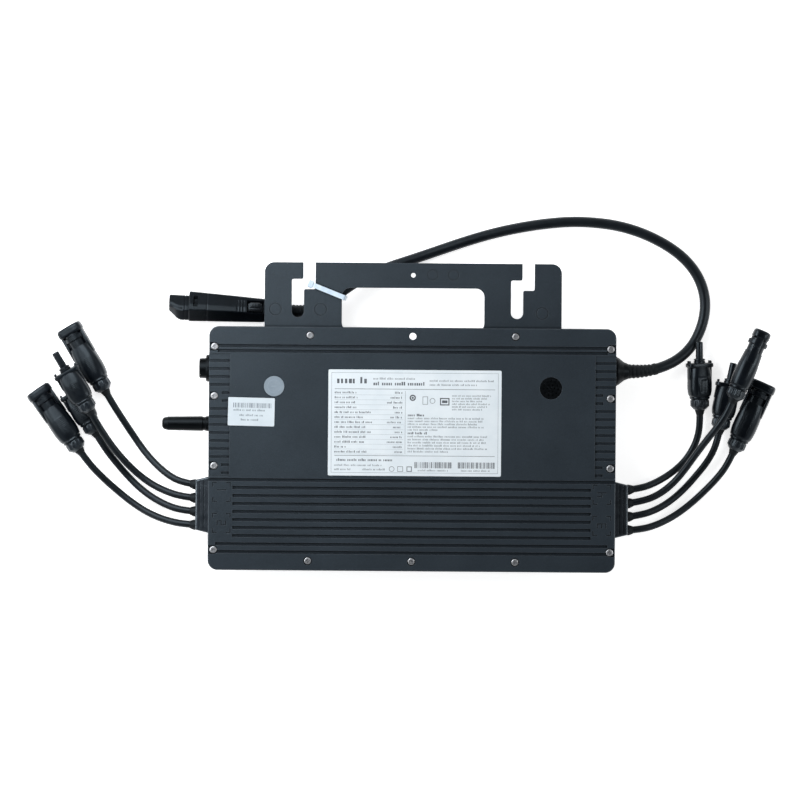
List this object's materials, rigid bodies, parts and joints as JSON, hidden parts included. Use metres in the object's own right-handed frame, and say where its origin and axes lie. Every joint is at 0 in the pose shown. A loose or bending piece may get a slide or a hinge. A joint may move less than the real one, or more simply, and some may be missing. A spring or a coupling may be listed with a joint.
{
  "type": "micro inverter",
  "caption": "Flat die-cast inverter with a slotted hanging bracket, a capped port, a stub antenna, an AC cable with its plug, and short DC leads with connectors.",
  "frame": {"origin": "on the back face that the case lies on, below the middle of the cover plate", "axes": "+X towards the AC cable gland, +Y towards the mounting bracket, +Z out of the labelled cover"},
  "size_m": [0.6172, 0.293, 0.042],
  "materials": {
    "cover_coating": "fine matt powder coat, dark slate blue-grey",
    "base_coating": "fine matt powder coat on a casting",
    "bracket_coating": "matt powder coat on sheet aluminium",
    "gasket_rubber": "soft matt rubber",
    "screw_steel": "plain stainless",
    "label_film": "satin polyester film",
    "disc_plastic": "satin moulded disc",
    "vent_plastic": "matt moulded",
    "port_plastic": "satin moulded nylon",
    "antenna_plastic": "satin moulded",
    "jack_brass": "plated",
    "block_plastic": "satin moulded",
    "cord_jacket": "satin sheath",
    "lead_jacket": "satin sheath",
    "plug_plastic": "satin moulded nylon",
    "insert_plastic": "satin moulded nylon",
    "latch_plastic": "satin moulded nylon",
    "tie_nylon": "translucent nylon",
    "board_laminate": "solder-masked laminate",
    "ferrite": "sintered ferrite",
    "copper_wire": "enamelled",
    "can_aluminium": "sleeved can",
    "film_plastic": "moulded case",
    "package_plastic": "moulded package",
    "connector_plastic": "satin moulded",
    "contact_metal": "tin-plated"
  },
  "bodies": {
    "root": {"ac_connector_housing": "plug_plastic", "ac_connector_insert": "insert_plastic", "ac_connector_nut": "plug_plastic", "ac_gland_body": "port_plastic", "ac_gland_nut": "port_plastic", "ac_lead": "cord_jacket", "ac_port_socket": "port_plastic", "antenna_jack": "jack_brass", "board_screws": "screw_steel", "bracket_screws": "screw_steel", "bulk_capacitors": "can_aluminium", "cable_tie": "tie_nylon", "common_mode_choke": "ferrite", "cover_gasket": "gasket_rubber", "cover_plate": "cover_coating", "cover_screws": "screw_steel", "dc_connector_left_1": "connector_plastic", "dc_connector_left_2": "connector_plastic", "dc_connector_left_3": "connector_plastic", "dc_connector_left_4": "connector_plastic", "dc_connector_right_1": "connector_plastic", "dc_connector_right_2": "connector_plastic", "dc_connector_right_3": "connector_plastic", "dc_connector_right_4": "connector_plastic", "dc_contact_pins": "contact_metal", "dc_contact_sockets": "contact_metal", "dc_lead_left_1": "lead_jacket", "dc_lead_left_2": "lead_jacket", "dc_lead_left_3": "lead_jacket", "dc_lead_left_4": "lead_jacket", "dc_lead_right_1": "lead_jacket", "dc_lead_right_2": "lead_jacket", "dc_lead_right_3": "lead_jacket", "dc_lead_right_4": "lead_jacket", "dc_nut_left_1": "connector_plastic", "dc_nut_left_2": "connector_plastic", "dc_nut_left_3": "connector_plastic", "dc_nut_left_4": "connector_plastic", "dc_nut_right_1": "connector_plastic", "dc_nut_right_2": "connector_plastic", "dc_nut_right_3": "connector_plastic", "dc_nut_right_4": "connector_plastic", "film_capacitors": "film_plastic", "grid_relays": "film_plastic", "housing_base": "base_coating", "indicator_disc": "disc_plastic", "lead_block_left": "block_plastic", "lead_block_right": "block_plastic", "main_board": "board_laminate", "mounting_bracket": "bracket_coating", "power_switches": "package_plastic", "radio_module": "board_laminate", "rating_label": "label_film", "serial_label": "label_film", "transformer_cores": "ferrite", "transformer_windings": "copper_wire", "vent_plug": "vent_plastic"},
    "antenna_rod": {"antenna_rod": "antenna_plastic"},
    "ac_port_cap": {"ac_port_cap": "port_plastic"},
    "plug_latch": {"ac_connector_latch": "latch_plastic"}
  },
  "joints": [
    {"name": "antenna_spin", "type": "hinge", "parent": "root", "child": "antenna_rod", "pos_m": [-0.153, 0.0199, 0.017], "axis": [1, 0, 0], "continuous": true},
    {"name": "ac_port_cap_turn", "type": "hinge", "parent": "root", "child": "ac_port_cap", "pos_m": [-0.153, 0.0655, 0.017], "axis": [1, 0, 0], "continuous": true},
    {"name": "plug_latch_press", "type": "slide", "parent": "root", "child": "plug_latch", "axis": [0, 0, -1], "range_m": [0, 0.0015], "stiffness_N_per_m": 800}
  ]
}
